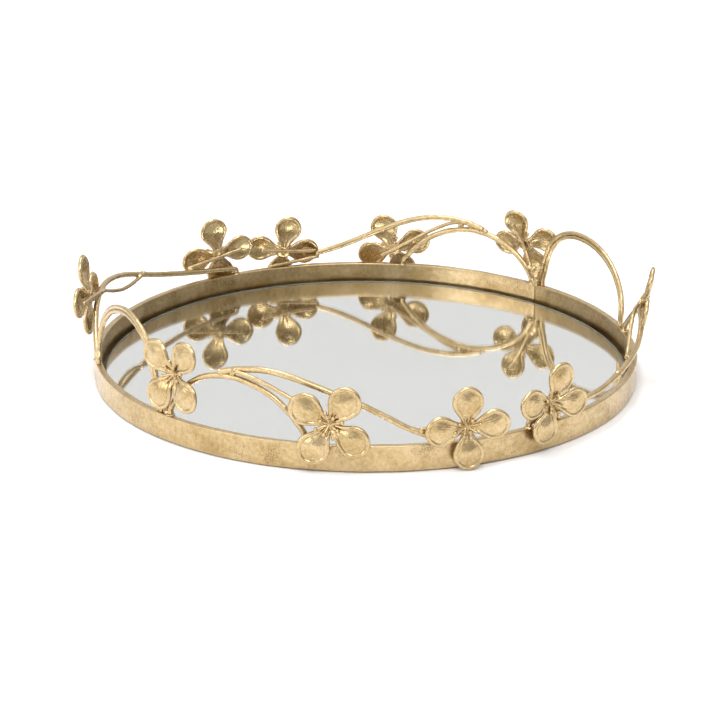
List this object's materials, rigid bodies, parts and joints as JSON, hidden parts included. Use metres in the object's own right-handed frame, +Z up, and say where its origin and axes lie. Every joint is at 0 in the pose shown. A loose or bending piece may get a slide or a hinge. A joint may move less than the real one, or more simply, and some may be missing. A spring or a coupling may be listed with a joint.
{
  "type": "round mirrored vanity tray",
  "caption": "Round gilded metal tray with a mirror floor, a low hoop wall and a welded vine of four-petalled blossoms that rises into two bent-rod handles.",
  "frame": {"origin": "centre of the felt face the tray stands on", "axes": "+Z up, out of the mirror; +X from the tray's centre towards the right-hand corner blossom; -Y is the front"},
  "size_m": [0.4301, 0.4271, 0.0885],
  "materials": {
    "gilded_hoop": "antiqued gold leaf, satin",
    "gilded_petal": "antiqued gold leaf, satin",
    "gilded_wire": "antiqued gold leaf, satin",
    "mirror_glass": "polished clear float glass",
    "mirror_silver": "silvered",
    "foam_tape": "matte foam",
    "felt": "pressed felt",
    "black_steel": "matte black"
  },
  "bodies": {
    "root": {"back_arch_rod": "gilded_wire", "back_blossom_1_petals": "gilded_petal", "back_blossom_1_stamens": "gilded_wire", "back_blossom_1_stem": "gilded_wire", "back_blossom_2_petals": "gilded_petal", "back_blossom_2_stamens": "gilded_wire", "back_blossom_2_stem": "gilded_wire", "back_blossom_3_petals": "gilded_petal", "back_blossom_3_stamens": "gilded_wire", "back_blossom_3_stem": "gilded_wire", "back_blossom_4_petals": "gilded_petal", "back_blossom_4_stamens": "gilded_wire", "back_blossom_4_stem": "gilded_wire", "back_blossom_5_petals": "gilded_petal", "back_blossom_5_stamens": "gilded_wire", "back_blossom_5_stem": "gilded_wire", "back_corner_rod": "gilded_wire", "back_handle_inner_rod": "gilded_wire", "back_handle_outer_rod": "gilded_wire", "back_vine_rod": "gilded_wire", "back_weld_beads": "gilded_wire", "base_plate": "black_steel", "felt_base": "felt", "front_arch_rod": "gilded_wire", "front_blossom_1_petals": "gilded_petal", "front_blossom_1_stamens": "gilded_wire", "front_blossom_1_stem": "gilded_wire", "front_blossom_2_petals": "gilded_petal", "front_blossom_2_stamens": "gilded_wire", "front_blossom_2_stem": "gilded_wire", "front_blossom_3_petals": "gilded_petal", "front_blossom_3_stamens": "gilded_wire", "front_blossom_3_stem": "gilded_wire", "front_blossom_4_petals": "gilded_petal", "front_blossom_4_stamens": "gilded_wire", "front_blossom_4_stem": "gilded_wire", "front_blossom_5_petals": "gilded_petal", "front_blossom_5_stamens": "gilded_wire", "front_blossom_5_stem": "gilded_wire", "front_corner_rod": "gilded_wire", "front_handle_inner_rod": "gilded_wire", "front_handle_outer_rod": "gilded_wire", "front_vine_rod": "gilded_wire", "front_weld_beads": "gilded_wire", "mirror_glass": "mirror_glass", "mirror_silvering": "mirror_silver", "mirror_tape_pads": "foam_tape", "rim_hoop": "gilded_hoop"}
  },
  "joints": []
}
